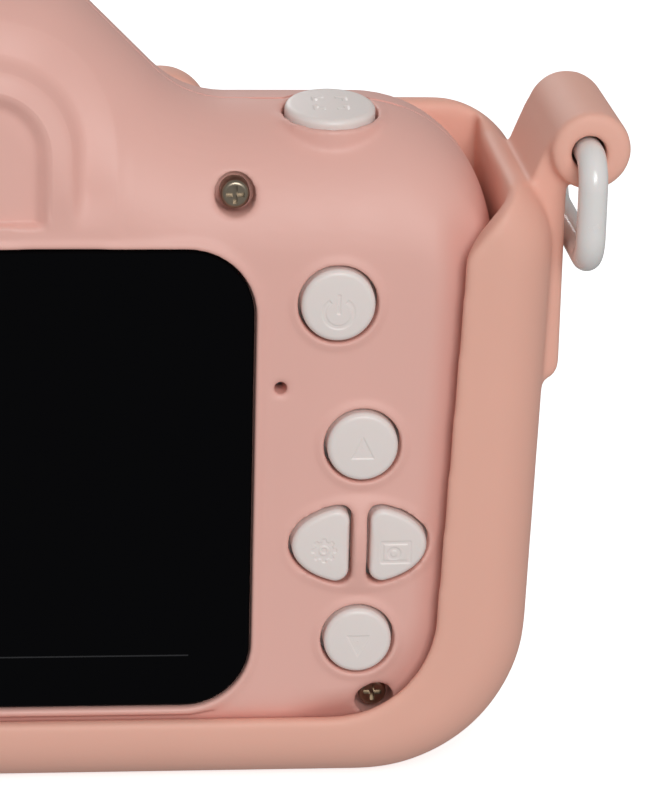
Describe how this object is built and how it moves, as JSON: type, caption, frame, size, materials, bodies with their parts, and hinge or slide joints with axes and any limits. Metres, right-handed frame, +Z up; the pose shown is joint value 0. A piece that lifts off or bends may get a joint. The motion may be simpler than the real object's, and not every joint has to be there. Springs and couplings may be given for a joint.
{
  "type": "kids digital camera",
  "caption": "Small digital camera for children in a stretch-on silicone case, with a rear screen, press buttons, a leaning shutter button and a strap ring at each shoulder.",
  "frame": {"origin": "centre of the bounding box's bottom: on the surface the silicone case stands on, midway between the strap lugs and midway from the rearmost point of the strap rings to the front of the lens", "axes": "+Z up, +Y forward along the lens, +X to the user's right when looking at the screen, where the buttons are"},
  "size_m": [0.1048, 0.041, 0.0685],
  "materials": {
    "shell": "satin",
    "silicone": "matte",
    "black_glass": "gloss",
    "black_foam": "matte",
    "lcd_glass": "gloss",
    "white_plastic": "satin",
    "flex_film": "satin",
    "white_button": "satin",
    "black_plastic": "satin",
    "circuit_board": "satin",
    "sensor_glass": "gloss",
    "plated_steel": "satin",
    "battery_foil": "satin",
    "lead_insulation": "satin",
    "speaker_paper": "matte",
    "clear_glass": "gloss",
    "led_phosphor": "satin",
    "white_ring": "gloss",
    "screw_steel": "satin"
  },
  "bodies": {
    "camera": {"rear_shell": "shell", "front_shell": "shell", "lens_barrel": "shell", "silicone_case": "silicone", "screen_window": "black_glass", "window_tape": "black_foam", "lcd_gasket": "black_foam", "lcd_panel": "lcd_glass", "lcd_backlight": "white_plastic", "lcd_ribbon": "flex_film", "camera_ribbon": "flex_film", "rear_switch_bases": "black_plastic", "shutter_switch": "black_plastic", "shutter_board": "circuit_board", "main_board": "circuit_board", "camera_board": "circuit_board", "flash_board": "circuit_board", "image_processor": "black_plastic", "memory_chip": "black_plastic", "power_chip": "black_plastic", "image_sensor": "sensor_glass", "battery_connector": "white_plastic", "speaker_connector": "white_plastic", "usb_socket": "plated_steel", "card_socket": "plated_steel", "battery": "battery_foil", "battery_pad": "black_foam", "battery_leads": "lead_insulation", "speaker": "plated_steel", "speaker_cone": "speaker_paper", "speaker_leads": "lead_insulation", "microphone": "plated_steel", "mic_boot": "black_foam", "lens_trim_ring": "white_plastic", "lens_bezel": "black_plastic", "lens_window": "clear_glass", "lens_carrier": "black_plastic", "camera_holder": "black_plastic", "lens_cell": "black_plastic", "objective_lens": "clear_glass", "flash_led": "led_phosphor", "flash_window": "clear_glass", "housing_screws": "screw_steel", "board_screws": "screw_steel"},
    "power_key": {"power_button": "white_button", "power_switch_plunger": "white_plastic"},
    "up_key": {"up_button": "white_button", "up_switch_plunger": "white_plastic"},
    "down_key": {"down_button": "white_button", "down_switch_plunger": "white_plastic"},
    "menu_key": {"menu_button": "white_button", "menu_switch_plunger": "white_plastic"},
    "mode_key": {"mode_button": "white_button", "mode_switch_plunger": "white_plastic"},
    "shutter_key": {"shutter_button": "white_button", "shutter_switch_plunger": "white_plastic"},
    "left_ring": {"left_strap_ring": "white_ring"},
    "right_ring": {"right_strap_ring": "white_ring"},
    "card": {"memory_card": "black_plastic"}
  },
  "joints": [
    {"name": "power_press", "type": "slide", "parent": "camera", "child": "power_key", "axis": [0, 1, 0], "range_m": [0, 0.0004], "stiffness_N_per_m": 1000},
    {"name": "up_press", "type": "slide", "parent": "camera", "child": "up_key", "axis": [0, 1, 0], "range_m": [0, 0.0004], "stiffness_N_per_m": 1000},
    {"name": "down_press", "type": "slide", "parent": "camera", "child": "down_key", "axis": [0, 1, 0], "range_m": [0, 0.0004], "stiffness_N_per_m": 1000},
    {"name": "menu_press", "type": "slide", "parent": "camera", "child": "menu_key", "axis": [0, 1, 0], "range_m": [0, 0.0004], "stiffness_N_per_m": 1000},
    {"name": "mode_press", "type": "slide", "parent": "camera", "child": "mode_key", "axis": [0, 1, 0], "range_m": [0, 0.0004], "stiffness_N_per_m": 1000},
    {"name": "shutter_press", "type": "slide", "parent": "camera", "child": "shutter_key", "axis": [0, 0.1392, -0.9903], "range_m": [0, 0.0004], "stiffness_N_per_m": 1000},
    {"name": "left_ring_swing", "type": "hinge", "parent": "camera", "child": "left_ring", "pos_m": [-0.0489, -0.00925, 0.0546], "axis": [0, 1, 0], "range_deg": [0, 180]},
    {"name": "right_ring_swing", "type": "hinge", "parent": "camera", "child": "right_ring", "pos_m": [0.0489, -0.00925, 0.0546], "axis": [0, -1, 0], "range_deg": [0, 180]},
    {"name": "card_slide", "type": "slide", "parent": "camera", "child": "card", "axis": [-1, 0, 0], "range_m": [0, 0.016]}
  ]
}
